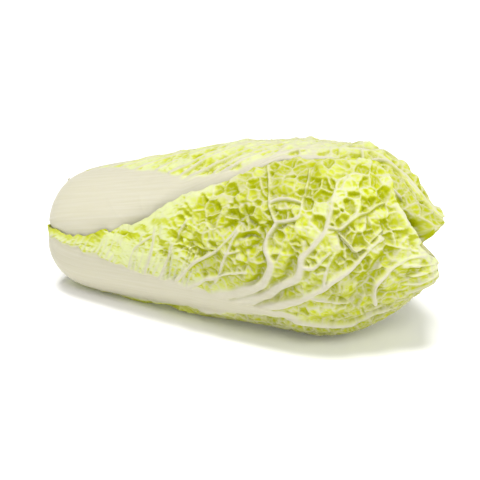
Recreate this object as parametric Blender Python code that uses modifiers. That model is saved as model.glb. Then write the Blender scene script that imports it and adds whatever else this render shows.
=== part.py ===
"""A head of napa cabbage lying on its side, built leaf by leaf.

Units are metres and +Z is up. The head lies along X, with its cut stem at -X and its leaf tips at +X, and rests
on a flat underside at Z = 0. Every leaf is its own closed shell. The leaves sit in nested layers between the
outline of the whole head and the outline of its packed heart, so that no two of them touch.
"""

import math

import bmesh
import bpy
import numpy as np
from mathutils import Vector

# Driving dimensions
HEAD_LENGTH = 0.310
LAYERS = 10  # leaf layers between the head's outline and the heart
TIP_SHIFT = 0.0030  # the leaf tips stop short of the outline's end, so the head moves along to stay centred
FRONT_SHIFT = 0.0014  # the front leaf lies one layer further out than the back one
BLADE_THICKNESS = 0.0014
STALK_THICKNESS = 0.0030
STALK_SHARE = 0.45  # share of a leaf's length over which its thick stalk thins down to the blade
STEM_CLEARANCE = 0.0008  # gap between the stem and the leaves' feet and the heart
CROWN_CLEARANCE = 0.0024  # gap at the stem's inner end, where the innermost leaves bend closest to it

# Half outlines, turned about the head's axis: (distance from the cut face, radius). The two lists match point by
# point, and a leaf layer lies a fixed share of the way from the first to the second.
HEAD_OUTLINE = (
    (0.000, 0.026), (0.003, 0.034), (0.010, 0.041), (0.022, 0.0465), (0.045, 0.0515),
    (0.095, 0.059), (0.140, 0.0658), (0.190, 0.0703), (0.225, 0.0713), (0.250, 0.068),
    (0.268, 0.059), (0.285, 0.044), (0.298, 0.029), (0.306, 0.0155), (0.310, 0.000),
)
HEART_OUTLINE = (
    (0.036, 0.010), (0.038, 0.0125), (0.042, 0.0155), (0.050, 0.0185), (0.065, 0.0225),
    (0.100, 0.0335), (0.142, 0.0405), (0.188, 0.046), (0.219, 0.0475), (0.241, 0.0455),
    (0.256, 0.0395), (0.267, 0.030), (0.277, 0.020), (0.283, 0.011), (0.286, 0.000),
)
# Height of the head's axis above the table: it rises along the head, which rests on its thick middle.
AXIS_HEIGHT = (
    (0.000, 0.0450), (0.030, 0.0462), (0.095, 0.0555), (0.140, 0.0625),
    (0.190, 0.0668), (0.225, 0.0680), (0.250, 0.0715), (0.270, 0.0730), (0.310, 0.0720),
)
OUTLINE_SAMPLES = 241  # points worked out along each of the three curves above

# Half the angle that a leaf wraps round the head: (share of the outline's length, degrees). The front leaf is the
# largest. It reaches over the top leaf's blade on one side, and under the head to the edge of the flat on the other.
OVER_WRAP = ((0.0, 50), (0.12, 45), (0.25, 53), (0.38, 70), (0.50, 88), (0.60, 103), (0.75, 112), (1.0, 110))
UNDER_WRAP = ((0.0, 42), (0.10, 46), (0.25, 58), (0.36, 70), (1.0, 70))
USUAL_WRAP = ((0.0, 40), (0.10, 45), (0.25, 56), (0.42, 70), (0.55, 78), (0.70, 80), (1.0, 76))

# Leaves from the outside in: (name, degrees of the midrib's foot round the head from the top towards -Y, degrees of
# its tip, share of the outline where the tip ends, wrap back towards the top, wrap onwards).
LEAVES = (
    ("front_leaf", 122, 122, 0.940, OVER_WRAP, UNDER_WRAP),
    ("back_leaf", 248, 252, 0.930, USUAL_WRAP, USUAL_WRAP),
    ("top_leaf", 46, -6, 0.950, USUAL_WRAP, USUAL_WRAP),
    ("underside_leaf", 178, 182, 0.945, USUAL_WRAP, USUAL_WRAP),
    ("back_upper_leaf", 318, 312, 0.935, USUAL_WRAP, USUAL_WRAP),
    ("inner_leaf_1", 100, 104, 0.955, USUAL_WRAP, USUAL_WRAP),
    ("inner_leaf_2", 244, 239, 0.960, USUAL_WRAP, USUAL_WRAP),
    ("inner_leaf_3", 20, 26, 0.950, USUAL_WRAP, USUAL_WRAP),
    ("inner_leaf_4", 168, 164, 0.960, USUAL_WRAP, USUAL_WRAP),
    ("inner_leaf_5", 312, 317, 0.955, USUAL_WRAP, USUAL_WRAP),
)
MIDRIB_TURN = ((0.0, 0.0), (0.38, 0.0), (0.48, 0.25), (0.60, 0.75), (0.75, 1.0), (1.0, 1.0))  # share, share of turn
TIP_ROUNDING = 0.13  # how far back a leaf's corners fall short of its tip, as a share of the outline
CELLS_ACROSS = 12
CELLS_ALONG = 20
# Rows of a leaf crowd together where the outline bends most: (share of the rows, share of the leaf's length).
ROW_SPACING = ((0.0, 0.0), (0.25, 0.10), (0.70, 0.68), (1.0, 1.0))

HEART_SEGMENTS = 32
HEART_RINGS = 24
STEM_SEGMENTS = 32

COLOURS = {
    "leaf": ((0.56, 0.60, 0.18, 1), 0.45),
    "heart": ((0.66, 0.66, 0.20, 1), 0.50),
    "stem": ((0.80, 0.74, 0.56, 1), 0.60),
}


def smooth_curve(points, samples):
    """Points along a Catmull-Rom curve through the given points, each stretch with the same number of samples."""
    knots = np.array(points, float)
    ends = np.vstack([2 * knots[0] - knots[1], knots, 2 * knots[-1] - knots[-2]])
    at = np.linspace(0, len(knots) - 1, samples)
    stretch = np.minimum(at.astype(int), len(knots) - 2)
    u = (at - stretch)[:, None]
    before, start, end, after = (ends[stretch + k] for k in range(4))
    bend = 2 * before - 5 * start + 4 * end - after
    twist = 3 * start - before - 3 * end + after
    return start + 0.5 * u * (end - before + u * (bend + u * twist))


OUTER = smooth_curve(HEAD_OUTLINE, OUTLINE_SAMPLES)
INNER = smooth_curve(HEART_OUTLINE, OUTLINE_SAMPLES)
OUTER[:, 1] = np.maximum(OUTER[:, 1], 0)
INNER[:, 1] = np.maximum(INNER[:, 1], 0)
ALONG = np.append(0, np.cumsum(np.linalg.norm(np.diff(OUTER, axis=0), axis=1)))
ALONG /= ALONG[-1]
AXIS = smooth_curve(AXIS_HEIGHT, OUTLINE_SAMPLES)


def between(table, at):
    """Value at one place of a table of (place, value) pairs."""
    places, values = zip(*table)
    return float(np.interp(at, places, values))


def on_head(layer, share, degrees):
    """The point on a leaf layer at a share of the outline's length and an angle round the head."""
    depth = layer / LAYERS
    outer = np.array([np.interp(share, ALONG, OUTER[:, k]) for k in range(2)])
    inner = np.array([np.interp(share, ALONG, INNER[:, k]) for k in range(2)])
    along, radius = outer + depth * (inner - outer)
    angle = math.radians(degrees)
    floor = depth * np.linalg.norm(inner - outer)
    height = np.interp(along, AXIS[:, 0], AXIS[:, 1]) + radius * math.cos(angle)
    return Vector((along - HEAD_LENGTH / 2 + TIP_SHIFT, FRONT_SHIFT - radius * math.sin(angle), max(height, floor)))


def material(name):
    colour, roughness = COLOURS[name]
    made = bpy.data.materials.new(name)
    made.use_nodes = True
    shader = made.node_tree.nodes["Principled BSDF"]
    shader.inputs["Base Color"].default_value = colour
    shader.inputs["Roughness"].default_value = roughness
    shader.inputs["Metallic"].default_value = 0
    made.diffuse_color = colour
    return made


def new_object(name, mesh_data, collection, finish):
    mesh = bpy.data.meshes.new(name)
    mesh_data.to_mesh(mesh)
    mesh_data.free()
    mesh.materials.append(finish)
    mesh.shade_smooth()
    made = bpy.data.objects.new(name, mesh)
    collection.objects.link(made)
    return made


def leaf(layer, name, foot, end, tip, wrap_back, wrap_on, collection, finish):
    """A grid laid on the leaf's layer, given its thickness by Solidify: thick at the stalk, thin at the blade."""
    sheet = bmesh.new()
    bmesh.ops.create_grid(sheet, x_segments=CELLS_ACROSS, y_segments=CELLS_ALONG, size=1)
    thickness = []
    for vertex in sheet.verts:
        across = vertex.co.x
        row = between(ROW_SPACING, (vertex.co.y + 1) / 2)
        rounding = TIP_ROUNDING * across**2 * row**3
        share = row * (tip - rounding)
        wrap = wrap_back if across < 0 else wrap_on
        midrib = foot + (end - foot) * between(MIDRIB_TURN, share)
        degrees = midrib + across * between(wrap, share)
        vertex.co = on_head(layer, share, degrees)
        stalk = max(0.0, 1 - row / STALK_SHARE) * (1 - across**2)
        thickness.append((BLADE_THICKNESS + stalk * (STALK_THICKNESS - BLADE_THICKNESS)) / STALK_THICKNESS)
    sheet.normal_update()
    bmesh.ops.recalc_face_normals(sheet, faces=sheet.faces)
    middle = min(sheet.faces, key=lambda face: face.calc_center_median().length)
    outwards = middle.calc_center_median() - Vector((middle.calc_center_median().x, 0, AXIS[-1, 1]))
    if middle.normal.dot(outwards) < 0:
        bmesh.ops.reverse_faces(sheet, faces=sheet.faces)
    made = new_object(name, sheet, collection, finish)
    group = made.vertex_groups.new(name="thickness")
    for index, weight in enumerate(thickness):
        group.add([index], weight, "REPLACE")
    shell = made.modifiers.new("Thickness", "SOLIDIFY")
    shell.thickness = STALK_THICKNESS
    shell.offset = -1
    shell.vertex_group = group.name
    return made


def heart(collection, finish):
    """The packed leaves inside the last layer: a sphere drawn out to the heart's outline."""
    ball = bmesh.new()
    bmesh.ops.create_uvsphere(ball, u_segments=HEART_SEGMENTS, v_segments=HEART_RINGS, radius=1)
    for vertex in ball.verts:
        share = math.acos(max(-1.0, min(1.0, -vertex.co.z))) / math.pi
        degrees = math.degrees(math.atan2(vertex.co.y, vertex.co.x))
        vertex.co = on_head(LAYERS, share, degrees)
    ball.normal_update()
    bmesh.ops.recalc_face_normals(ball, faces=ball.faces)
    return new_object("heart", ball, collection, finish)


def stem(collection, finish):
    """The cut stem: a cone from the cut face to the heart, with every leaf's foot just clear of its side."""
    foot = on_head(0, 0, 0)
    crown = on_head(LAYERS, 0, 0)
    foot_radius = HEAD_OUTLINE[0][1] - STEM_CLEARANCE
    crown_radius = HEART_OUTLINE[0][1] - CROWN_CLEARANCE
    length = crown.x - foot.x - STEM_CLEARANCE
    cone = bmesh.new()
    bmesh.ops.create_cone(
        cone, cap_ends=True, segments=STEM_SEGMENTS, radius1=foot_radius, radius2=crown_radius, depth=length
    )
    for vertex in cone.verts:
        distance = vertex.co.z + length / 2
        height = np.interp(distance, AXIS[:, 0], AXIS[:, 1])
        vertex.co = Vector((foot.x + distance, FRONT_SHIFT + vertex.co.y, height + vertex.co.x))
    cone.normal_update()
    bmesh.ops.recalc_face_normals(cone, faces=cone.faces)
    return new_object("stem_butt", cone, collection, finish)


def build():
    for existing in list(bpy.data.objects):
        bpy.data.objects.remove(existing)
    head = bpy.data.collections.new("napa_cabbage")
    bpy.context.scene.collection.children.link(head)
    finishes = {name: material(name) for name in COLOURS}
    stem(head, finishes["stem"])
    heart(head, finishes["heart"])
    for layer, (name, *shape) in enumerate(LEAVES):
        leaf(layer, name, *shape, head, finishes["leaf"])


build()
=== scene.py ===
"""A head of napa cabbage lying on its side on a white table, leaf over leaf round its packed heart."""

import math

import bpy
import numpy as np
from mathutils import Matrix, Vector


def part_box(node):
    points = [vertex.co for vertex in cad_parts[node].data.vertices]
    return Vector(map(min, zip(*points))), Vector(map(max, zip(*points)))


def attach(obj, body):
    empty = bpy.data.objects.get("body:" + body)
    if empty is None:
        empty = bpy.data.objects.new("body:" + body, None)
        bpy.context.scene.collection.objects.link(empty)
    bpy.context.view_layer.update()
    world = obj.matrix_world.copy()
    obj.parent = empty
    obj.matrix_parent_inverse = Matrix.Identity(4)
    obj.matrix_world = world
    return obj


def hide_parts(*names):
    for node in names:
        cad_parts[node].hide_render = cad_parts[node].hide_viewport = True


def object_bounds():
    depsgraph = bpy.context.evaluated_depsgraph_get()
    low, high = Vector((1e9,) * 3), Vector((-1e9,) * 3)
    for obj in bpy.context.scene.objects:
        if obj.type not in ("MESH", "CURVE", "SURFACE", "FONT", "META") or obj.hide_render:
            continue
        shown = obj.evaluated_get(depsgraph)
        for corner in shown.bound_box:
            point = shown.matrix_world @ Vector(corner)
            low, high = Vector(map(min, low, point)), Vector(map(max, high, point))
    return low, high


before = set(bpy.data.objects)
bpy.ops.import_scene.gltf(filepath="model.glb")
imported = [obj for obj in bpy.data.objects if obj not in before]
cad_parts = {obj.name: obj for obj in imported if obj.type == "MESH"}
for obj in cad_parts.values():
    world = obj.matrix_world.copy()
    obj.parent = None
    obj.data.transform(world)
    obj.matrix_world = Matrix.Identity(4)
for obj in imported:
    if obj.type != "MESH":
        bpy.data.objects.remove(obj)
cad_box = [list(corner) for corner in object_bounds()]
bpy.ops.object.select_all(action="DESELECT")

# --------------------------------------------------------------------------------------------------
# Front leaf. The outermost and largest leaf: a thick white midrib along the lower front of the head, whose
# veins fan out over a crinkled blade. Like every leaf it is a grid laid on the head, with its relief raised
# from it and a thickness of its own. It grows from the side of the stem and lies on the leaves below.

MM = 0.001  # metres

# Half outlines of the head and of its packed heart, turned about the head's axis: (distance from the cut
# face, radius) in mm. They match point by point. A depth of 0 is the head's outline and 1 is the heart's.
HEAD_OUTLINE = (
    (0, 26), (3, 34), (10, 41), (22, 46.5), (45, 51.5), (95, 59), (140, 65.8), (190, 70.3),
    (225, 71.3), (250, 68), (268, 59), (285, 44), (298, 29), (306, 15.5), (310, 0),
)
HEART_OUTLINE = (
    (36, 10), (38, 12.5), (42, 15.5), (50, 18.5), (65, 22.5), (100, 33.5), (142, 40.5), (188, 46),
    (219, 47.5), (241, 45.5), (256, 39.5), (267, 30), (277, 20), (283, 11), (286, 0),
)
# Height of the head's axis above the table: (distance from the cut face, height) in mm
AXIS_HEIGHT = (
    (0, 45), (30, 46.2), (95, 55.5), (140, 62.5), (190, 66.8), (225, 68), (250, 71.5), (270, 73), (310, 72),
)
CUT_FACE_X = cad_box[0][0]
AXIS_Y = sum(corner.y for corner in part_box("heart")) / 2
OUTLINE_SAMPLES = 281  # points that stand for each of these three curves


def smooth_curve(points, samples):
    """Points along a Catmull-Rom curve through the given points, with as many samples in each stretch."""
    knots = np.array(points, float)
    ends = np.vstack([2 * knots[0] - knots[1], knots, 2 * knots[-1] - knots[-2]])
    at = np.linspace(0, len(knots) - 1, samples)
    stretch = np.minimum(at.astype(int), len(knots) - 2)
    u = (at - stretch)[:, None]
    before, start, end, after = (ends[stretch + k] for k in range(4))
    bend = 2 * before - 5 * start + 4 * end - after
    twist = 3 * start - before - 3 * end + after
    return start + 0.5 * u * (end - before + u * (bend + u * twist))


def ease(value):
    """0 below 0, 1 above 1, and a smooth step between."""
    value = np.clip(value, 0, 1)
    return value * value * (3 - 2 * value)


def mound(distance, width):
    """1 at no distance, and a bell curve that has all but died away at twice the width."""
    return np.exp(-((distance / width) ** 2))


def between(pairs, at):
    """The value at a place, on straight lines between (place, value) pairs."""
    return np.interp(at, *zip(*pairs))


outer_curve = smooth_curve(HEAD_OUTLINE, OUTLINE_SAMPLES)
inner_curve = smooth_curve(HEART_OUTLINE, OUTLINE_SAMPLES)
axis_curve = smooth_curve(AXIS_HEIGHT, OUTLINE_SAMPLES)
length_along = np.append(0, np.cumsum(np.hypot(*np.diff(outer_curve, axis=0).T)))
HEAD_SPAN = length_along[-1]  # mm along the outline from the cut face to the tip
share_along = length_along / HEAD_SPAN


def radius_at(share):
    """The head's radius in mm, kept above 0 at the tip."""
    return np.maximum(np.interp(share, share_along, outer_curve[:, 1]), 1)


def on_head(depth, share, degrees):
    """Points in mm at a share of the outline's length and an angle round the head from top to front."""
    outside = np.stack([np.interp(share, share_along, outer_curve[:, k]) for k in (0, 1)])
    inside = np.stack([np.interp(share, share_along, inner_curve[:, k]) for k in (0, 1)])
    reach, radius = outside + depth * (inside - outside)
    radius = np.maximum(radius, 0)
    angle = np.radians(degrees)
    height = np.interp(reach, *axis_curve.T) + radius * np.cos(angle)
    floor = depth * np.hypot(*(inside - outside))
    flattened = 1.2  # mm over which the round side turns into the flat that the head rests on
    height = (height + floor + np.hypot(height - floor, flattened)) / 2
    return np.stack([reach + CUT_FACE_X / MM, AXIS_Y / MM - radius * np.sin(angle), height], -1)


NOISE_CELLS = 32  # cells in each direction, after which a table of random numbers repeats


def noise(points, size, seed):
    """Smooth noise from 0 to 1 with features of about the given size in mm. Each use has its own seed."""
    table = np.random.default_rng(seed).random((NOISE_CELLS,) * 3)
    at = points / size
    cell = np.floor(at).astype(int)
    part = ease(at - cell)
    total = np.zeros(len(points))
    for corner in np.ndindex(2, 2, 2):
        weight = np.prod(np.where(corner, part, 1 - part), axis=1)
        total += weight * table[tuple(((cell + corner) % NOISE_CELLS).T)]
    return total


def sway(points, size, seed):
    """Smooth noise from -0.5 to 0.5 in each of three directions."""
    return np.stack([noise(points, size, seed + k) for k in range(3)], -1) - 0.5


def net(points, size, seed, flow):
    """An irregular net of walls whose meshes are shorter along the flow, which is at most 1 long.

    It is made from one random site in each cell of space: a wall lies midway between two sites. Gives the
    distance in mm to the nearest wall and a random number for each mesh."""
    table = np.random.default_rng(seed).random((NOISE_CELLS,) * 3 + (4,))
    at = points / size
    home = np.floor(at).astype(int)
    squeeze = 1.6  # how much further a step along the flow counts
    margin = 0.1  # share of a cell that its site keeps off the cell's sides

    def length(step):
        return np.sqrt((step**2).sum(1) + squeeze * (step * flow).sum(1) ** 2)

    first = np.full(len(points), np.inf)
    second = first.copy()
    first_site = np.zeros((len(points), 3))
    second_site = first_site.copy()
    number = np.zeros(len(points))
    for step in np.ndindex(3, 3, 3):
        cell = home + step - 1
        drawn = table[tuple((cell % NOISE_CELLS).T)]
        site = cell + margin + (1 - 2 * margin) * drawn[:, :3]
        away = length(at - site)
        nearest = away < first
        next_best = ~nearest & (away < second)
        second_site[nearest] = first_site[nearest]
        second_site[next_best] = site[next_best]
        second = np.where(nearest, first, np.where(next_best, away, second))
        first_site[nearest] = site[nearest]
        number[nearest] = drawn[nearest, 3]
        first = np.where(nearest, away, first)
    gap = first_site - second_site
    gap += squeeze * flow * (gap * flow).sum(1)[:, None]
    wall = (second**2 - first**2) / (2 * np.maximum(np.linalg.norm(gap, axis=1), 1e-6))
    return wall * size, number


# Half the angle that a leaf wraps round the head: (share of the outline's length, degrees)
OVER_WRAP = ((0, 48), (0.12, 44), (0.22, 50), (0.32, 58), (0.345, 66), (0.40, 75), (0.47, 81),
             (0.50, 88), (0.55, 95), (0.62, 105), (0.75, 113), (1, 110))
UNDER_WRAP = ((0, 42), (0.10, 46), (0.25, 58), (0.36, 70), (1, 70))
USUAL_WRAP = ((0, 40), (0.10, 45), (0.25, 56), (0.42, 70), (0.55, 78), (0.70, 80), (1, 76))
BACK_WRAP = ((0, 40), (0.10, 45), (0.25, 56), (0.42, 66), (0.55, 69), (0.70, 66), (1, 58))
# How far a leaf's two corners fall short of its tip, as a share of the outline
TIP_ROUNDING = (0.13, 0.13)
INNER_ROUNDING = (0.05, 0.05)
MIDRIB_TURN = ((0, 0), (0.38, 0), (0.48, 0.25), (0.60, 0.75), (0.75, 1), (1, 1))  # share, share of its turn

# Leaves from the outside in: (name, degrees of the midrib's foot and of its tip round the head, share of the
# outline where the tip ends, wrap back towards the top, wrap onwards, rounding of the corners on both sides).
# A leaf's order is its place in this list, counted from 0.
LEAVES = (
    ("front_leaf", 122, 122, 0.960, OVER_WRAP, UNDER_WRAP, (0.17, 0.05)),
    ("back_leaf", 248, 252, 0.930, USUAL_WRAP, BACK_WRAP, TIP_ROUNDING),
    ("top_leaf", 46, -6, 0.955, USUAL_WRAP, USUAL_WRAP, (0.13, 0.06)),
    ("underside_leaf", 178, 182, 0.945, USUAL_WRAP, USUAL_WRAP, TIP_ROUNDING),
    ("back_upper_leaf", 318, 312, 0.935, USUAL_WRAP, USUAL_WRAP, TIP_ROUNDING),
    ("inner_leaf_1", 92, 88, 0.985, USUAL_WRAP, USUAL_WRAP, INNER_ROUNDING),
    ("inner_leaf_2", 244, 239, 0.985, USUAL_WRAP, USUAL_WRAP, INNER_ROUNDING),
    ("inner_leaf_3", 20, 26, 0.990, USUAL_WRAP, USUAL_WRAP, INNER_ROUNDING),
    ("inner_leaf_4", 168, 164, 0.995, USUAL_WRAP, USUAL_WRAP, INNER_ROUNDING),
    ("inner_leaf_5", 312, 317, 0.995, USUAL_WRAP, USUAL_WRAP, INNER_ROUNDING),
)
COVER_DEPTH = 2  # mm inside a leaf's edge where the leaf below it lies at its full depth


def midrib_angle(order, share):
    """Degrees round the head where a leaf's midrib runs."""
    foot, end = LEAVES[order][1:3]
    return foot + (end - foot) * between(MIDRIB_TURN, share)


def turn_from_midrib(order, share, degrees):
    """Degrees from a leaf's midrib: negative back towards the top, positive onwards."""
    return (degrees - midrib_angle(order, share) + 180) % 360 - 180


def beyond_edge(order, share, degrees):
    """How many mm a place on the head lies outside a leaf's edge: negative where the leaf covers it."""
    tip, over, under, rounding = LEAVES[order][3:]
    turn = turn_from_midrib(order, share, degrees)
    wrap = np.where(turn < 0, between(over, share), between(under, share))
    across = np.minimum(np.abs(turn) / wrap, 1)
    sideways = radius_at(share) * np.radians(np.abs(turn) - wrap)
    endways = (share - tip + np.where(turn < 0, *rounding) * across**2) * HEAD_SPAN
    return np.maximum(sideways, endways)


def depth_below_leaves(order, share, degrees):
    """The depth at which a leaf lies, under every leaf that covers it, and how much of it is covered."""
    depths = []
    hidden = np.zeros_like(share)
    for leaf in range(order + 1):
        depth = np.zeros_like(share)
        for above in range(leaf):
            beyond = beyond_edge(above, share, degrees)
            reach = 5 + 12 * ease(share / 0.15)  # mm outside the edge where the leaf below starts to dip
            covered = ease((reach - beyond) / (reach + COVER_DEPTH))
            # A leaf's room: more for the outermost leaves, and less near the stem
            room = 0.085 + 0.105 * ease(1 - depths[above] / 0.15)
            room = room * (0.35 + 0.65 * ease((share - 0.2) / 0.2))
            depth = np.maximum(depth, covered * (depths[above] + room))
            if leaf == order:  # from 2 mm outside the edge of the leaf above to 6 mm inside it
                hidden = np.maximum(hidden, ease((2 - beyond) / 8))
        depths.append(depth)
    return depths[order], hidden


def parted(points, hollow):
    """The upper leaves' tips stand apart from the lower ones' at a slanting cleft across the end of the head.

    A hollow, of the depth given in mm, sinks into the front end of the cleft."""
    onwards = points @ (0.913, 0.409, 0)  # mm towards the tip and away from the front
    upwards = points @ (-0.156, 0.349, 0.924)  # mm across the cleft
    cleft_onwards, cleft_upwards, spread = 126, 46.9, 1.5
    beyond = onwards - cleft_onwards - spread * np.abs(upwards - cleft_upwards)
    moved = points.copy()
    moved[:, 0] -= 0.8 * np.logaddexp(0, beyond)
    away = np.linalg.norm(points - on_head(0, 0.905, 50), axis=1)
    inwards = np.array((95, 0, 66)) - moved
    inwards /= np.linalg.norm(inwards, axis=1)[:, None]
    return moved + inwards * (hollow * mound(away, 8))[:, None]


HOLLOW = 9.0  # mm by which the cleft's front end sinks, in all but the front leaf


def vectors(mesh, key):
    """A mesh's vertices' places ("co") or normals ("normal"), one row each."""
    values = np.zeros(len(mesh.vertices) * 3)
    mesh.vertices.foreach_get(key, values)
    return values.reshape(-1, 3)


def set_places(mesh, places):
    """Moves a mesh's vertices to places in mm."""
    mesh.vertices.foreach_set("co", (places * MM).ravel())
    mesh.update()


def set_values(mesh, **values):
    """Gives each vertex a value under each name, which the materials read."""
    for key, value in values.items():
        mesh.attributes.new(key, "FLOAT", "POINT").data.foreach_set("value", value.astype(np.float32))


def on_outline(route):
    """Points in mm along a smooth route through (share, degrees) places on the head's outline."""
    path = smooth_curve(route, 6 * (len(route) - 1) + 1)
    return on_head(0, path[:, 0], path[:, 1])


class Leaf:
    """A leaf's grid and its relief. Lengths are in mm, and heights stand out from the head."""

    def __init__(self, order, cells_across, cells_along, over_share=0.5):
        self.order = order
        self.rng = np.random.default_rng(order)
        self.name, _, _, tip, over, under, rounding = LEAVES[order]
        bpy.ops.mesh.primitive_grid_add(x_subdivisions=cells_across, y_subdivisions=cells_along, size=2)
        self.piece = bpy.context.object
        self.piece.name = self.piece.data.name = self.name
        grid = vectors(self.piece.data, "co")
        across, row = grid[:, 0], (grid[:, 1] + 1) / 2
        place = (across + 1) / 2  # the midrib runs up the grid at over_share of its width
        across = np.where(place < over_share, place / over_share - 1, (place - over_share) / (1 - over_share))
        share = row * (tip - np.where(across < 0, *rounding) * across**2 * row**3)
        wrap = np.where(across < 0, between(over, share), between(under, share))
        degrees = midrib_angle(order, share) + across * wrap
        # The edge wanders in and out in small lobes, and at the tip in broad ones too
        flat = on_head(0, share, degrees)
        lobes = noise(flat, 9, 100 + order) - 0.5 + 0.6 * (noise(flat, 4.2, 200 + order) - 0.5)
        rim = np.abs(across) ** 10
        degrees += np.sign(across) * rim * np.degrees(5.0 * lobes / radius_at(share)) * ease(share / 0.05)
        share += ease((row - 0.9) / 0.1) * 6 * lobes / HEAD_SPAN
        share += ease((row - 0.8) / 0.2) * 12 * (noise(flat, 22, 150 + order) - 0.5) / HEAD_SPAN
        self.share, self.degrees = share, degrees
        self.turn = turn_from_midrib(order, share, degrees)
        self.flat = on_head(0, share, degrees)
        self.x = share * HEAD_SPAN
        self.y = radius_at(share) * np.radians(self.turn)
        self.inset = -beyond_edge(order, share, degrees)
        self.depth, self.hidden = depth_below_leaves(order, share, degrees)
        self.bent = self.flat + 2.4 * sway(self.flat, 11, 30)  # shifted about, which makes the veins wander
        self.uneven = noise(self.flat, 8, 40)
        self.flow = np.zeros_like(self.flat)
        self.ridge, self.rib, self.fold, self.bulge, self.greener = (np.zeros_like(share) for _ in range(5))
        self.near_vein = np.full_like(share, 30.0)

    def vein(self, route, width, height, spread=14):
        """A raised vein through (share, degrees) places, felt by the blade as far as the spread.

        Its width and height are pairs, for its start and its end. It narrows quickly at first."""
        path = on_outline(route)
        near = np.all((self.bent > path.min(0) - spread) & (self.bent < path.max(0) + spread), axis=1)
        index = np.flatnonzero(near)
        at = self.bent[index]
        best = np.full(len(index), np.inf)
        along = np.zeros(len(index))
        heading = np.zeros((len(index), 3))
        count = len(path) - 1
        for k in range(count):
            run = path[k + 1] - path[k]
            u = np.clip((at - path[k]) @ run / (run @ run), 0, 1)
            away = np.linalg.norm(at - path[k] - u[:, None] * run, axis=1)
            closer = away < best
            best = np.where(closer, away, best)
            along = np.where(closer, (k + u) / count, along)
            heading[closer] = run / np.linalg.norm(run)
        taper = (1 - along) ** 2.2
        wide = (width[1] + (width[0] - width[1]) * taper) * (0.8 + 0.4 * self.uneven[index])
        high = (height[1] + (height[0] - height[1]) * taper) * (0.75 + 0.5 * self.uneven[index])
        crest, skirt = mound(best, wide), mound(best, 2.6 * wide)
        self.flow[index] += heading * (high * np.exp(-best / 5))[:, None]
        self.ridge[index] = np.maximum(self.ridge[index], high * (0.7 * crest + 0.3 * skirt))
        self.rib[index] = np.maximum(self.rib[index], ease(1.45 * crest) * ease(high / 0.9))
        self.near_vein[index] = np.minimum(self.near_vein[index], best + 4 * ease(1 - high / 1.5))

    def furrow(self, route, width, depth):
        """A fold that sinks between two rises, through (share, degrees) places. It is shallow at its ends."""
        path = on_outline(route)
        away = np.full(len(self.flat), np.inf)
        for start, end in zip(path, path[1:]):
            run = end - start
            u = np.clip((self.bent - start) @ run / (run @ run), 0, 1)
            away = np.minimum(away, np.linalg.norm(self.bent - start - u[:, None] * run, axis=1))
        ends = np.minimum(*(np.linalg.norm(self.bent - path[k], axis=1) for k in (0, -1)))
        self.fold = np.maximum(self.fold, depth * mound(away, width) * (0.35 + 0.65 * ease(ends / 8)))

    def around(self, place, size):
        """1 at a (share, degrees) place, dying away over the size."""
        return mound(np.linalg.norm(self.flat - on_head(0, *place), axis=1), size)

    def lift(self, place, size, rise):
        """Raises the leaf round a place, or sinks it."""
        self.bulge += rise * self.around(place, size)

    def tinge(self, place, size, amount):
        """Makes the blade greener round a place, or paler."""
        self.greener += amount * self.around(place, size)

    def side_veins(self, side, starts, reach, width, height):
        """Veins that leave the midrib one after another on one side and bend towards the tip.

        Each has two forks. The starts are shares of the outline, and the veins stop short of tip and edge."""
        wrap = LEAVES[self.order][4 if side < 0 else 5]
        last_share = last_turn = 0.93
        points = 6
        for start in starts:
            route = []
            wobble = self.rng.normal(0, 1, points)
            length = reach * self.rng.uniform(0.85, 1.15)
            for k, t in enumerate(np.linspace(0, 1, points)):
                share = min(start + length * (t + 0.35 * t * t) / HEAD_SPAN, last_share)
                turn = side * between(wrap, share) * last_turn * t**0.92
                turn += side * 4.5 * wobble[k] * t * (1 - 0.5 * t)
                route.append((share, midrib_angle(self.order, share) + turn))
            size = 1 - 0.45 * start
            self.vein(route, (width[0] * size, width[1]), (height[0] * size, height[1]))
            for fork, (onward, aside) in ((2, (1.3, 0.4)), (3, (0.5, 1.3))):
                run = np.subtract(route[fork + 1], route[fork])
                branch = [np.add(route[fork], run * (onward * far, aside * far)) for far in (0, 0.9, 1.9)]
                branch[1] += self.rng.normal(0, 1, 2) * (0.008, 2)
                self.vein(branch, (width[1] * 1.4, 0.7), (height[1] * 1.6, 0.4), spread=8)

    def mark_midrib(self, half_widths, end):
        """Tells midrib from blade, by the midrib's half width on both sides and the share where it ends."""
        back, onwards = (between(pairs, self.share) for pairs in half_widths)
        self.half = np.where(self.turn < 0, back, onwards)
        self.inside = self.half - np.abs(self.y)
        ragged = 5 * (noise(self.flat, 6, 300 + self.order) - 0.5)
        blend, fade = 4.4, 0.06  # mm over which the midrib turns into blade, and share over which it ends
        self.midrib = ease((self.inside + blend / 2 + ragged) / blend) * ease((end - self.share) / fade)
        self.blade = 1 - self.midrib
        self.rib = np.clip(np.maximum(self.rib, self.midrib), 0, 1)
        self.near_vein = np.minimum(self.near_vein, np.maximum(-self.inside, 0) + 3)
        self.show = 1 - 0.9 * self.hidden  # the leaves above press the relief flat
        self.open_blade = self.blade * (1 - self.rib) * self.show

    def mark_cells(self, pockets):
        """Parts the blade by threads into coarse and fine cells, which sink. The deep ones are greener and
        darker, partly their own green and partly painted shade.
        """
        coarse_size, fine_size = 9.0, 4.8
        self.warp = self.flat + 2.6 * sway(self.flat, 6, 400)
        self.warp += sway(self.flat, 2.6, 410)
        flow = self.flow / (np.linalg.norm(self.flow, axis=1)[:, None] + 0.15)
        wall, self.number = net(self.warp, coarse_size, 500 + self.order, flow)
        fine_wall, fine_number = net(self.warp, fine_size, 600 + self.order, flow)
        cushion = 1 - (1 - np.clip(wall / 3.2, 0, 1)) ** 2
        fine_cushion = 1 - (1 - np.clip(fine_wall / 1.7, 0, 1)) ** 2
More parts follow.
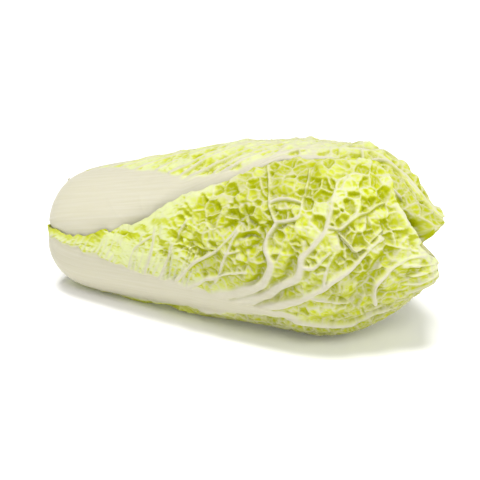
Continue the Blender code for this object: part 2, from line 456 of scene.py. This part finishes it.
        # Some of the cells are deep, and most of those lie in patches
        deep, fine_deep = ease((self.number - 0.35) / 0.35), ease((fine_number - 0.5) / 0.3)
        swell = noise(self.flat, 26, 800 + self.order)
        self.patch = np.maximum(ease((swell - 0.28) / 0.4), 0.6 * ease((self.share - 0.5) / 0.12))
        near_foot, near_edge = ease((self.share - 0.15) / 0.35), ease(self.inset / 14)
        self.pockets = pockets * (0.2 + 0.8 * near_foot) * (0.4 + 0.6 * near_edge)
        sunk = (0.4 + 2.5 * deep * (0.3 + 0.7 * self.patch)) * cushion
        self.sunk = self.pockets * (sunk + (0.1 + 0.55 * fine_deep) * fine_cushion)
        self.thread = np.maximum(mound(wall, 0.7), 0.55 * mound(fine_wall, 0.5))
        self.thread *= 0.3 + 0.7 * ease((self.share - 0.3) / 0.2)
        # Deep cells' floors are painted greener and darker: partly the blade's own green, partly painted
        # shade in the hollows.
        green = 0.45 * deep * (0.3 + 0.7 * self.patch) * ease((wall - 0.4) / 1.2)
        self.cell_green_and_shade = self.pockets * (green + 0.12 * fine_deep * ease((fine_wall - 0.3) / 0.9))

    def relief(self, crown, wing_lift, flare, wave):
        """The height of each place: the midrib's crown and strands, the veins, the sunk cells and the rim."""
        half_round = np.sqrt(np.clip(1 - (self.y / self.half) ** 2, 0, 1))
        height = crown * self.midrib * half_round * ease(1 - self.share)
        strands = noise(np.stack([self.x / 14, self.y, 0 * self.x], -1), 5, 850 + self.order)
        height += 0.5 * self.midrib * (strands - 0.5)
        height += self.ridge * self.show * (1 - 0.7 * self.midrib)
        # The blade dips beside the veins, rises between them, and has sharp creases and, at the tip, blisters
        close = self.near_vein / 4.0
        dips = ease((noise(self.flat, 15, 900 + self.order) - 0.34) / 0.3)
        valley = close * np.exp(1 - close) * 3.6 * dips
        rise = 2.4 * ease((self.near_vein - 4) / 8) * (0.9 - self.patch)
        crease = noise(self.warp, 12, 950 + self.order) - 0.5
        blister = 1.2 * (noise(self.flat, 4.5, 960) - 0.5) * ease((self.share - 0.72) / 0.15)
        low = self.sunk + self.pockets * valley * self.patch - rise + blister + 0.6 * mound(crease, 0.03)
        folds = self.fold * self.show * self.blade * (1 - 0.6 * self.rib)
        self.low = self.open_blade * low + folds + np.maximum(-self.bulge, 0)
        # A dip past 3 mm deepens less and less, to 5.1 at most, so that the leaf below doesn't come through
        free, more = 3, 2.1
        height -= np.where(self.low > free, free + more * np.tanh((self.low - free) / more), self.low)
        rim = mound(self.inset, 8) * self.blade
        ruffle = noise(self.flat, 14, 1000 + self.order) - 0.42
        ruffle = ruffle + 0.2 * (noise(self.flat, 6, 1100 + self.order) - 0.5)
        height += rim * (1.5 + wave * ease((self.share - 0.4) / 0.3)) * ruffle * self.show
        height += (flare * rim * ease((self.share - 0.86) / 0.06) + np.maximum(self.bulge, 0)) * self.show
        height += wing_lift * self.blade * np.exp(-np.maximum(-self.inside, 0) / 8) * (1 - self.hidden)
        return height + 1.2 * self.blade * ease(self.share / 0.3) * self.show

    def lay(self, height):
        """Puts the grid on the head with its relief. Gives how much further down each place then faces."""
        mesh = self.piece.data
        base = on_head(self.depth, self.share, self.degrees)
        set_places(mesh, base)
        outwards = vectors(mesh, "normal")
        final = parted(base + outwards * height[:, None], HOLLOW if self.order else 0.0)
        final[:, 2] = np.maximum(final[:, 2], 0.2)  # clear of the table
        set_places(mesh, final)
        return outwards[:, 2] - vectors(mesh, "normal")[:, 2]

    def colour(self, greening, edging, tilt_light_and_shade):
        """Sets the values that the material reads, and its map along the leaf. Gives the faces' corners."""
        # Painted light and shade: places that the relief turns downwards, away from the light above, are
        # painted greener and darker, and places it turns upwards a little paler.
        green = between(greening, self.share) + self.greener + self.cell_green_and_shade + 0.9 * tilt_light_and_shade
        # More painted shade: greener in the folds, and on the flank that wraps onwards, which on the front
        # leaf is its shaded underside.
        green += 0.13 * self.fold + 0.2 * ease(self.turn / 10) + 0.25 * ease((self.turn - 10) / 12)
        green += between(edging, self.share) * mound(self.inset, 5)
        # Painted shade again: greener where the blade sinks. The rest of this value is the blade's own green.
        pocket = self.open_blade * (green + 0.07 * np.clip(self.low, 0, 6))
        # Cream threads are left off down-turned flanks, which keep their painted shade.
        thread = 0.82 * self.thread * self.blade * (1 - ease(2.5 * tilt_light_and_shade))
        mesh = self.piece.data
        set_values(mesh, rib=np.clip(np.maximum(self.rib, thread), 0, 1), stalk=self.midrib,
                   pocket=np.clip(pocket, 0, 1.5), tone=self.number)
        corners = np.zeros(len(mesh.loops), int)
        mesh.loops.foreach_get("vertex_index", corners)
        along = np.stack([self.y, self.x], -1)[corners]
        mesh.uv_layers.active.data.foreach_set("uv", along.ravel() * MM)
        return corners

    def thicken(self, stalk, corners):
        """Gives the leaf 1 mm of thickness at its edge, 2.4 mm in the blade, and the stalk's at its foot."""
        middle = ease(1.2 * self.inside / self.half + 0.3)
        thick = 1.0 + (stalk - 1.0) * ease(1.15 - self.share / 0.5) * middle
        thick += 1.4 * ease((self.inset - 5) / 12) * self.blade * (1 - ease((self.share - 0.85) / 0.08))
        thickest = thick.max()
        group = self.piece.vertex_groups.new(name="thickness")
        for index, weight in enumerate(np.round(thick / thickest, 3).tolist()):
            group.add((index,), weight, "REPLACE")
        shell = self.piece.modifiers.new("Thickness", "SOLIDIFY")
        shell.thickness = thickest * MM
        shell.offset = -1
        shell.vertex_group = group.name
        bpy.ops.object.modifier_apply(modifier=shell.name)
        rim_width = 7  # mm
        thin_inside(self.piece, self.inset[corners.reshape(-1, 4)].min(axis=1) > rim_width)

    def finish(self, midrib_width, crown, stalk, tissue, pockets=1.0, wing_lift=0.0,
               flare=2.0, wave=4.0, greening=((0, 0.1), (0.4, 0.1), (0.6, 0.3)), edging=((0, 0.1), (1, 0.1)),
               midrib_end=1.1, painted_shade_cap=0.12):
        """Shapes, colours and thickens the leaf, and puts it on the head.

        Greening and edging are (share, green) pairs, for the whole blade and for its edge. A place that the
        relief turns downwards is painted greener and darker, as shade from the light above, up to the given
        cap."""
        self.mark_midrib(midrib_width, midrib_end)
        self.mark_cells(pockets)
        tilt_light_and_shade = self.lay(self.relief(crown, wing_lift, flare, wave))
        corners = self.colour(greening, edging, np.clip(tilt_light_and_shade, -0.25, painted_shade_cap))
        self.thicken(stalk, corners)
        self.piece.data.shade_smooth()
        self.piece.data.materials.append(tissue)
        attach(self.piece, "root")
        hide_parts(self.name)
        self.piece.select_set(False)


def thin_inside(piece, hidden_faces):
    """The hidden side of a leaf, away from its edge, needs far fewer faces than the side that shows."""
    mesh = piece.data
    chosen = np.zeros(len(mesh.polygons), bool)
    chosen[len(hidden_faces):2 * len(hidden_faces)] = hidden_faces
    bpy.ops.object.mode_set(mode="EDIT")
    bpy.ops.mesh.select_mode(type="FACE")
    bpy.ops.mesh.select_all(action="DESELECT")
    bpy.ops.object.mode_set(mode="OBJECT")
    mesh.polygons.foreach_set("select", chosen)
    bpy.ops.object.mode_set(mode="EDIT")
    bpy.ops.mesh.decimate(ratio=0.12)  # the share of its faces that is left
    bpy.ops.object.mode_set(mode="OBJECT")


def feed(tree, entry, value):
    """Links a shader socket to a node's entry, or sets the entry to a plain value."""
    if isinstance(value, Socket):
        tree.links.new(value.socket, entry)
    else:
        entry.default_value = value


class Socket:
    """A shader socket that takes part in Python expressions, each of which adds its Math node."""

    def __init__(self, tree, socket):
        self.tree, self.socket = tree, socket

    def node(self, kind, settings=None, out=0, **inputs):
        """Adds a node: its settings are set first, then its inputs' values or links, by their labels."""
        made = self.tree.nodes.new(kind)
        for key, value in (settings or {}).items():
            if key == "stops":
                ramp = made.color_ramp.elements
                while len(ramp) < len(value):
                    ramp.new(0.5)
                for stop, (position, colour) in zip(ramp, value):
                    stop.position, stop.color = position, colour
            else:
                setattr(made, key, value)
        for key, value in inputs.items():
            label = int(key[1:]) if key[0] == "_" else key.replace("_", " ")
            feed(self.tree, made.inputs[label], value)
        return Socket(self.tree, made.outputs[out])

    def math(self, operation, *values):
        """Adds a Math node on the given values."""
        inputs = {f"_{k}": value for k, value in enumerate(values)}
        return self.node("ShaderNodeMath", {"operation": operation}, **inputs)

    def __add__(self, other):
        return self.math("ADD", self, other)

    def __sub__(self, other):
        return self.math("SUBTRACT", self, other)

    def __rsub__(self, other):
        return self.math("SUBTRACT", other, self)

    def __mul__(self, other):
        return self.math("MULTIPLY", self, other)

    def __pow__(self, other):
        return self.math("POWER", self, other)

    __radd__, __rmul__ = __add__, __mul__

    def clamp(self):
        return self.node("ShaderNodeClamp", Value=self)

    def mix(self, low, high):
        """A colour between low, where this socket is 0, and high, where it is 1."""
        settings = {"data_type": "RGBA", "clamp_factor": True}
        return self.node("ShaderNodeMix", settings, out=2, _0=self, _6=low, _7=high)


def dress(material, **values):
    """Gives a material's shader values or links, named by its sockets' labels."""
    shader = material.node_tree.nodes["Principled BSDF"]
    for key, value in values.items():
        feed(material.node_tree, shader.inputs[key.replace("_", " ")], value)


def new_material(name, **values):
    """A material, with values for its shader's own sockets, and the start of its nodes' expressions."""
    material = bpy.data.materials.new(name)
    material.use_nodes = True
    dress(material, **values)
    return material, Socket(material.node_tree, None)


def leaf_tissue(name, cream, pale, green, deep, glow):
    """Leaf tissue: waxy cream ribs and a thin blade that is greener the deeper it sinks between its veins,
    partly its own green and partly painted shade.
    """
    material, root = new_material(
        name, Subsurface_Weight=glow, Subsurface_Radius=(1.0, 0.9, 0.35), Subsurface_Scale=0.0015,
        IOR=1.4, Specular_IOR_Level=0.10,
    )
    place = root.node("ShaderNodeTexCoord", out=3)
    leaf_map = root.node("ShaderNodeTexCoord", out=2)
    rib, stalk, pocket, tone = (
        root.node("ShaderNodeAttribute", {"attribute_name": key}, out=2)
        for key in ("rib", "stalk", "pocket", "tone")
    )
    mottle = root.node("ShaderNodeTexNoise", Vector=place, Scale=260, Detail=4, Roughness=0.6)
    patch = root.node("ShaderNodeTexNoise", Vector=place, Scale=38, Detail=2)
    strand_map = root.node("ShaderNodeMapping", Vector=leaf_map, Scale=(1, 0.03, 1))  # long along the leaf
    strand = root.node("ShaderNodeTexNoise", Vector=strand_map, Scale=520, Detail=3, Roughness=0.55)

    depth = (pocket + (mottle - 0.5) * 0.16 + (tone - 0.5) * 0.12).clamp()
    # The darkest stop is painted shade for the deepest folds and flanks; the deep stop is partly the blade's
    # own green and partly painted shade.
    shaded_deep = (deep[0] * 0.84, deep[1] * 0.86, 0, 1)
    stops = ((0.0, pale), (0.23, green), (0.52, deep), (1.0, shaded_deep))
    blade = root.node("ShaderNodeValToRGB", {"stops": stops}, Fac=depth)
    patchy = ((patch - 0.5) * 0.9 + 0.1).clamp() * (1 - depth)
    blade = patchy.mix(blade, pale)
    shade = ((strand - 0.5) * 2.4 + 0.45).clamp()
    flesh = shade.mix(cream, (cream[0] * 0.93, cream[1] * 0.92, cream[2] * 0.84, 1))
    white = (rib * (0.9 + 0.1 * mottle)).clamp()
    grain = mottle * 0.6 * (1 - rib * 0.85) + strand * stalk * 1.1
    dress(
        material,
        Base_Color=white.mix(blade, flesh),
        Roughness=0.46 - rib * 0.08 + (mottle - 0.5) * 0.14,
        Normal=root.node("ShaderNodeBump", Strength=0.3, Distance=0.0005, Height=grain),
    )
    return material


outer_tissue = leaf_tissue(
    "outer_leaf_tissue",
    cream=(0.56, 0.532, 0.436, 1), pale=(0.60, 0.645, 0.30, 1), green=(0.51, 0.56, 0.02, 1),
    deep=(0.40, 0.43, 0.0, 1), glow=0.05,
)

front = Leaf(0, 222, 358, over_share=0.70)
# Veins: (places, widths and heights at the start and at the end)
for route, width, height in (
    # The first great vein climbs the blade to its upper edge, and forks
    (((0.428, 119), (0.540, 108), (0.587, 102), (0.607, 94), (0.615, 86), (0.600, 78), (0.598, 72),
      (0.612, 66), (0.616, 62), (0.603, 57), (0.590, 50), (0.575, 37), (0.56, 26)), (4.6, 0.9), (2.4, 0.5)),
    (((0.616, 62), (0.640, 60), (0.657, 57), (0.658, 50), (0.656, 41), (0.653, 34), (0.645, 25)),
     (1.3, 0.8), (0.9, 0.5)),
    # The second, with two branches towards the tip
    (((0.433, 127), (0.583, 110), (0.628, 101), (0.665, 93), (0.676, 86), (0.678, 80), (0.695, 74),
      (0.718, 64), (0.723, 54), (0.717, 44), (0.720, 32), (0.740, 26), (0.768, 24)), (5.0, 1.0), (2.7, 0.5)),
    (((0.722, 62), (0.745, 63), (0.763, 58), (0.795, 48), (0.820, 36)), (1.3, 0.8), (0.9, 0.5)),
    (((0.735, 63), (0.763, 70), (0.782, 76), (0.808, 70), (0.833, 57)), (0.9, 0.7), (0.8, 0.5)),
    # The third, and the fourth along the underside
    (((0.513, 125), (0.628, 112), (0.678, 106), (0.732, 98), (0.768, 90), (0.788, 84), (0.810, 74),
      (0.835, 64)), (4.0, 1.0), (2.2, 0.7)),
    (((0.423, 136), (0.550, 124), (0.602, 121), (0.645, 124), (0.680, 127), (0.712, 132), (0.740, 136),
      (0.765, 139), (0.790, 138), (0.817, 140), (0.842, 148), (0.857, 160)), (3.8, 1.0), (2.2, 0.7)),
    # The one in the lobe at the tip
    (((0.820, 122), (0.825, 106), (0.843, 97), (0.868, 89), (0.895, 82), (0.930, 77)),
     (1.6, 0.9), (1.5, 0.6)),
):
    front.vein(route, width, height)
for degrees in (90, 102, 114, 127, 141, 156):
    route = ((0.885, degrees), (0.915, degrees + 2), (0.955, degrees + 6))
    front.vein(route, (0.9, 0.7), (0.6, 0.5), spread=6)
# Smaller veins that leave the midrib, and branches between the great ones
for route, width, height in (
    (((0.270, 101), (0.288, 87), (0.310, 80), (0.327, 76)), (1.1, 0.8), (1.0, 0.6)),
    (((0.317, 105), (0.332, 88), (0.337, 76), (0.338, 70)), (1.3, 0.8), (1.2, 0.7)),
    (((0.350, 107), (0.378, 88), (0.398, 74), (0.417, 64)), (1.3, 0.8), (1.1, 0.6)),
    (((0.388, 109), (0.437, 93), (0.482, 84), (0.508, 76), (0.532, 68)), (1.6, 0.8), (1.3, 0.7)),
    (((0.488, 102), (0.500, 94), (0.513, 84), (0.525, 74), (0.538, 69)), (1.3, 0.8), (1.1, 0.7)),
    (((0.512, 83), (0.543, 80)), (1.1, 0.8), (1.0, 0.6)),
    (((0.410, 113), (0.485, 100), (0.527, 96), (0.562, 94)), (2.0, 0.9), (1.5, 0.7)),
    (((0.593, 50), (0.622, 48), (0.657, 49)), (1.1, 0.9), (1.0, 0.7)),
    (((0.680, 86), (0.703, 86), (0.720, 81), (0.732, 78)), (1.4, 0.8), (1.2, 0.7)),
    (((0.723, 98), (0.728, 88), (0.740, 78)), (1.3, 0.8), (1.1, 0.6)),
    (((0.700, 105), (0.748, 111), (0.778, 114)), (1.2, 0.8), (1.1, 0.6)),
):
    front.vein(route, width, height)
# Many small veins stream from the midrib into the narrow wing of blade along it
MIDRIB_EDGE = ((0.0, 84), (0.07, 86), (0.14, 91), (0.23, 99), (0.31, 106), (0.45, 109))
WING_REACH = ((0, 5), (0.1, 9), (0.2, 24), (0.3, 34), (0.45, 36))  # degrees from there to the wing's edge
for share in np.arange(0.05, 0.43, 0.0125):
    edge = between(MIDRIB_EDGE, share)
    reach = front.rng.uniform(0.5, 0.95) * between(WING_REACH, share)
    slant = front.rng.uniform(0.016, 0.03)
    front.vein(
        ((share - 0.01, edge + 4), (share + slant * 0.3, edge - reach * 0.35),
         (share + slant * 0.75, edge - reach * 0.75), (share + slant, edge - reach)),
        (0.9, 0.6), (0.8, 0.4), spread=6,
    )
# Folds between the great veins: (places, width, depth). The short ones crumple the blade where it is bunched.
for route, width, depth in (
    (((0.860, 76), (0.840, 82), (0.822, 92), (0.805, 102), (0.788, 111), (0.775, 118)), 3.4, 5.0),
    (((0.50, 112), (0.56, 104), (0.588, 96), (0.596, 88)), 2.6, 4.5),
    (((0.60, 107), (0.645, 95), (0.655, 86), (0.66, 78)), 3.2, 5.5),
    (((0.53, 116), (0.60, 110), (0.64, 103), (0.67, 97)), 2.2, 4.5),
    (((0.505, 133), (0.57, 131), (0.64, 130), (0.70, 140), (0.78, 146)), 2.6, 3.5),
    (((0.505, 68), (0.530, 64), (0.560, 66)), 1.8, 5.5),
    (((0.515, 60), (0.535, 62), (0.555, 57)), 1.8, 5.5),
    (((0.540, 74), (0.565, 70), (0.590, 73)), 1.8, 5.5),
    (((0.535, 53), (0.550, 61), (0.575, 64)), 1.8, 5.5),
    (((0.565, 79), (0.580, 75), (0.588, 66)), 1.8, 5.5),
):
    front.furrow(route, width, depth)
front.lift((0.93, 115), 16, 6.0)
front.lift((0.895, 172), 6, -5.0)
for place, size, amount in (
    ((0.77, 113), 22, 0.30), ((0.73, 40), 20, -0.20), ((0.60, 142), 12, 0.4), ((0.68, 143), 13, 0.4),
    ((0.76, 146), 14, 0.4), ((0.84, 140), 12, 0.3), ((0.62, 96), 14, 0.12), ((0.87, 108), 16, 0.16),
):
    front.tinge(place, size, amount)
# Painted shade: the cap on how much greener the down-turned flanks of the two leaves that show most are
# painted.
OUTERMOST_PAINTED_SHADE_CAP = 0.8  # the green under the folds of the two leaves that show most
front.finish(
    midrib_width=(
        ((0, 22), (0.07, 28), (0.14, 29), (0.23, 23.5), (0.31, 19), (0.40, 15), (0.48, 11), (0.56, 6),
         (0.66, 2), (1, 0.6)),
        ((0, 22), (0.10, 26), (0.25, 24), (0.40, 18), (0.50, 12), (0.60, 5), (0.70, 2), (1, 0.6)),
    ),
    crown=1.5, stalk=5.0, tissue=outer_tissue, wing_lift=1.6, midrib_end=0.70, painted_shade_cap=OUTERMOST_PAINTED_SHADE_CAP,
    greening=((0, 0.12), (0.15, 0.08), (0.25, -0.03), (0.38, -0.02), (0.52, 0.38), (0.62, 0.42),
              (0.69, 0.16), (1, 0.18)),
    edging=((0, 0.3), (0.2, 0.25), (0.3, -0.2), (0.7, -0.2), (0.85, 0.0), (0.92, -0.4), (1, -0.4)),
)

# --------------------------------------------------------------------------------------------------
# Top leaf. Its broad white midrib shows along the upper front of the head until the front leaf's blade laps
# over it. Slanting veins run from the midrib up to the head's top line, where the blade is frilled.

top = Leaf(2, 170, 330)
# The midrib goes on as a thick vein to the tip
top.vein(
    ((0.36, 48), (0.40, 46), (0.438, 42), (0.477, 37), (0.517, 28), (0.552, 21), (0.603, 15),
     (0.667, 11), (0.71, 11), (0.745, 7), (0.78, -2), (0.84, -8), (0.93, -8)),
    (9, 0.9), (1.6, 0.8), spread=18,
)
top.vein(((0.745, 8), (0.785, 15), (0.817, 17), (0.86, 22)), (1.1, 0.8), (1.0, 0.7))
for route in (
    ((0.130, 8), (0.190, 1), (0.260, -6)),
    ((0.170, 14), (0.230, 4), (0.310, -6)),
    ((0.215, 21), (0.260, 12), (0.320, 1), (0.365, -6)),
    ((0.260, 30), (0.302, 20), (0.347, 9), (0.415, -2)),
    ((0.298, 34), (0.345, 26), (0.388, 16), (0.437, 4), (0.48, -6)),
    ((0.338, 37), (0.378, 29), (0.413, 17), (0.465, 2), (0.50, -8)),
    ((0.355, 40), (0.397, 34), (0.430, 26), (0.478, 12), (0.53, -4)),
    ((0.378, 43), (0.418, 38), (0.452, 29), (0.505, 14), (0.56, -2)),
    ((0.430, 40), (0.470, 29), (0.530, 14), (0.59, 0), (0.63, -12)),
    ((0.517, 28), (0.553, 17), (0.600, 8), (0.647, -5), (0.68, -18)),
):
    top.vein(route, (1.7, 0.8), (1.1, 0.7))
top.side_veins(-1, (0.56, 0.62, 0.68, 0.74), 46, (1.6, 0.8), (0.9, 0.4))
top.side_veins(1, (0.20, 0.28, 0.36, 0.44, 0.52, 0.60, 0.66, 0.72), 50, (1.6, 0.8), (0.9, 0.4))
top.lift((0.925, 14), 13, 7.0)
top.lift((0.905, 50), 7, -3.0)
for place, size, rise in (
    ((0.30, -20), 6, 1.6), ((0.44, -22), 7, 2.2), ((0.56, -24), 6, 2.6), ((0.59, -19), 4, 2.2),
    ((0.69, -25), 6, 3.2), ((0.72, -21), 4, 2.6), ((0.80, -23), 6, 3.0), ((0.84, -19), 4, 2.4),
):
    top.lift(place, size, rise)
top.finish(
    midrib_width=(
        ((0, 26), (0.05, 34), (0.105, 41), (0.2, 31), (0.27, 25), (0.36, 14.5), (0.44, 7), (0.5, 3),
         (0.6, 1), (1, 0.6)),
        ((0, 26), (0.1, 34), (0.2, 30), (0.3, 19), (0.4, 9), (0.5, 3), (0.6, 1), (1, 0.6)),
    ),
    crown=1.5, stalk=5.0, tissue=outer_tissue, pockets=0.7, wave=6.0, flare=3.0, painted_shade_cap=OUTERMOST_PAINTED_SHADE_CAP,
    greening=((0, -0.05), (0.7, -0.05), (0.82, 0.28), (1, 0.28)),
)

# --------------------------------------------------------------------------------------------------
# The other outer leaves: round the back, the upper back and the underside of the head. Each has the same
# broad stalk, with veins that leave its midrib in turn on both sides.

# Half the midrib's width in mm by the share of the outline, and the shares where its side veins start
MIDRIB_HALF = ((0, 22), (0.1, 28), (0.25, 25), (0.38, 16), (0.5, 9), (0.6, 5), (0.75, 2.8), (1, 0.8))
SIDE_STARTS = np.array((0.19, 0.31, 0.41, 0.52, 0.62, 0.73))
for order, cells in ((1, (150, 290)), (4, (110, 230)), (3, (90, 200))):  # back, upper back, underside
    leaf = Leaf(order, *cells)
    for side in (-1, 1):
        starts = SIDE_STARTS + leaf.rng.uniform(-0.03, 0.03, len(SIDE_STARTS))
        leaf.side_veins(side, starts, 74, (4.0, 0.9), (2.2, 0.5))
    leaf.finish(midrib_width=(MIDRIB_HALF, MIDRIB_HALF), crown=1.5, stalk=5.0, tissue=outer_tissue)

# --------------------------------------------------------------------------------------------------
# Inner leaves: paler and yellower, packed inside the outer ones. Only their crinkled tips show, at the end of
# the head.

inner_tissue = leaf_tissue(
    "inner_leaf_tissue",
    cream=(0.68, 0.65, 0.45, 1), pale=(0.70, 0.71, 0.20, 1), green=(0.58, 0.58, 0.03, 1),
    deep=(0.38, 0.38, 0.0, 1), glow=0.08,
)
for order in range(5, 10):
    leaf = Leaf(order, 70, 140)
    for side in (-1, 1):
        leaf.side_veins(side, SIDE_STARTS[2:], 50, (1.8, 0.8), (1.3, 0.5))
    leaf.finish(
        midrib_width=(MIDRIB_HALF, MIDRIB_HALF), crown=1.0, stalk=4.0, tissue=inner_tissue,
        wave=1.5, flare=0.5, pockets=0.5,
    )

# --------------------------------------------------------------------------------------------------
# Heart: the youngest leaves, folded tightly over one another inside the last inner leaf.

bpy.ops.mesh.primitive_uv_sphere_add(segments=128, ring_count=96, radius=1)
heart = bpy.context.object
heart.name = heart.data.name = "heart"
at = vectors(heart.data, "co")
share = np.arccos(np.clip(-at[:, 2], -1, 1)) / np.pi
degrees = np.degrees(np.arctan2(at[:, 1], at[:, 0]))
flat = on_head(1, share, degrees)
fold = noise(flat, 9, 50) + 0.5 * noise(flat, 4, 51)
closing = ease((share - 0.84) / 0.12)
place = on_head(1 - 0.55 * closing + 0.22 * (fold - 0.7) * ease((share - 0.5) / 0.3), share, degrees)
set_places(heart.data, parted(place, HOLLOW))
# The heart is painted greener where its folds sink, as painted shade, and creamier where they stand out.
set_values(heart.data, rib=0.2 * (1 - fold), stalk=0 * fold, pocket=fold - 0.4, tone=0 * fold)
heart.data.materials.append(inner_tissue)
heart.data.shade_smooth()


def face_outwards():
    """Turns all faces of the active piece outwards."""
    bpy.ops.object.mode_set(mode="EDIT")
    bpy.ops.mesh.select_all(action="SELECT")
    bpy.ops.mesh.normals_make_consistent(inside=False)
    bpy.ops.object.mode_set(mode="OBJECT")


face_outwards()
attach(heart, "root")
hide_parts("heart")
heart.select_set(False)

# --------------------------------------------------------------------------------------------------
# Stem butt: the stump that every leaf grows from, cut across at the head's left end. The cut face has dried a
# little, and is browner towards its rim.

bpy.ops.mesh.primitive_cone_add(vertices=96, radius1=1, radius2=1, depth=1, end_fill_type="TRIFAN")
stem = bpy.context.object
stem.name = stem.data.name = "stem_butt"
bpy.ops.object.mode_set(mode="EDIT")
bpy.ops.mesh.select_all(action="SELECT")
bpy.ops.mesh.subdivide(number_cuts=12)
bpy.ops.object.mode_set(mode="OBJECT")
at = vectors(stem.data, "co")
STEM_LENGTH = 34  # mm
along = (at[:, 2] + 0.5) * STEM_LENGTH
out = np.hypot(at[:, 0], at[:, 1])
radius = between(((0, 25.0), (1.2, 26.2), (STEM_LENGTH, 8)), along) * out  # a small bevel, then a taper
angle = np.arctan2(at[:, 1], at[:, 0])
face = ease(1 - along / 0.5)
flat = np.stack([along, radius * np.cos(angle), radius * np.sin(angle)], -1)
rough = noise(flat, 5, 60) - 0.5
rings = np.sin(radius * 1.9 + 2 * noise(flat, 9, 61))
along = along + face * (0.5 * rough + 0.12 * rings + 0.5 * ease((out - 0.85) / 0.15))
height = np.interp(along, *axis_curve.T)
recess = 0.3  # mm by which the cut lies behind the leaves' feet
place = np.stack([CUT_FACE_X / MM + recess + along, AXIS_Y / MM - radius * np.sin(angle),
                  height + radius * np.cos(angle)], -1)
set_places(stem.data, place)
set_values(stem.data, out=out)
stump, root = new_material("stump", Roughness=0.6)
place = root.node("ShaderNodeTexCoord", out=3)
out = root.node("ShaderNodeAttribute", {"attribute_name": "out"}, out=2)
grain = root.node("ShaderNodeTexNoise", Vector=place, Scale=300, Detail=5)
blot = root.node("ShaderNodeTexNoise", Vector=place, Scale=60, Detail=3)
brown = ((out**6) * 0.7 + (blot - 0.5) * 1.1 + (grain - 0.5) * 0.4).clamp()
dress(
    stump,
    Base_Color=brown.mix((0.80, 0.74, 0.56, 1), (0.50, 0.38, 0.20, 1)),
    Normal=root.node("ShaderNodeBump", Strength=0.5, Distance=0.0008, Height=grain),
)
stem.data.materials.append(stump)
face_outwards()
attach(stem, "root")
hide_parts("stem_butt")
stem.select_set(False)

# --------------------------------------------------------------------------------------------------
# Studio: a white table that runs out of sight, a pale backdrop all round, three soft lights from above, from
# the front right and from the right, and the camera.

bpy.ops.mesh.primitive_plane_add(size=12)
table = bpy.context.object
table.name = "table"
paint, _ = new_material(
    "table_white", Base_Color=(0.95, 0.95, 0.95, 1), Roughness=0.7, Emission_Color=(1, 1, 1, 1),
    Emission_Strength=0.06, Specular_IOR_Level=0.2,
)
table.data.materials.append(paint)

world = bpy.data.worlds.new("studio")
world.use_nodes = True
root = Socket(world.node_tree, None)
sky = root.node("ShaderNodeTexCoord")
rise = root.node("ShaderNodeSeparateXYZ", out=2, Vector=sky)
backdrop = (1.5 - rise * 4).clamp()  # white up to 7 degrees above the table, which fades out by 22
light = backdrop.mix((0.38, 0.38, 0.38, 1), (1.1, 1.1, 1.1, 1))
world.node_tree.links.new(light.socket, world.node_tree.nodes["Background"].inputs["Color"])
bpy.context.scene.world = world

for name, place, spread, strength in (  # the direction it comes from, and its spread in degrees
    ("overhead", (0.02, -0.17, 1.0), 20, 2.66),
    ("key", (0.50, -0.75, 0.95), 18, 0.80),
    ("right", (1.0, -0.05, 0.50), 30, 0.50),
):
    lamp = bpy.data.lights.new(name, "SUN")
    lamp.energy = strength
    lamp.angle = math.radians(spread)
    holder = bpy.data.objects.new(name, lamp)
    bpy.context.scene.collection.objects.link(holder)
    holder.location = place
    holder.rotation_euler = (-holder.location).to_track_quat("-Z", "Y").to_euler()

AZIMUTH, ELEVATION = math.radians(24.14), math.radians(22.45)  # round from the front, and up
DISTANCE = 1.1  # metres from the place that the camera looks at
TARGET = (0.0002, 0, 0.0552)
camera = bpy.data.objects.new("camera", bpy.data.cameras.new("camera"))
bpy.context.scene.collection.objects.link(camera)
camera.data.lens = 108.2
camera.location = (
    TARGET[0] + DISTANCE * math.sin(AZIMUTH) * math.cos(ELEVATION),
    TARGET[1] - DISTANCE * math.cos(AZIMUTH) * math.cos(ELEVATION),
    TARGET[2] + DISTANCE * math.sin(ELEVATION),
)
camera.rotation_euler = (math.pi / 2 - ELEVATION, 0, AZIMUTH)
bpy.context.scene.camera = camera
bpy.context.scene.view_settings.view_transform = "Standard"
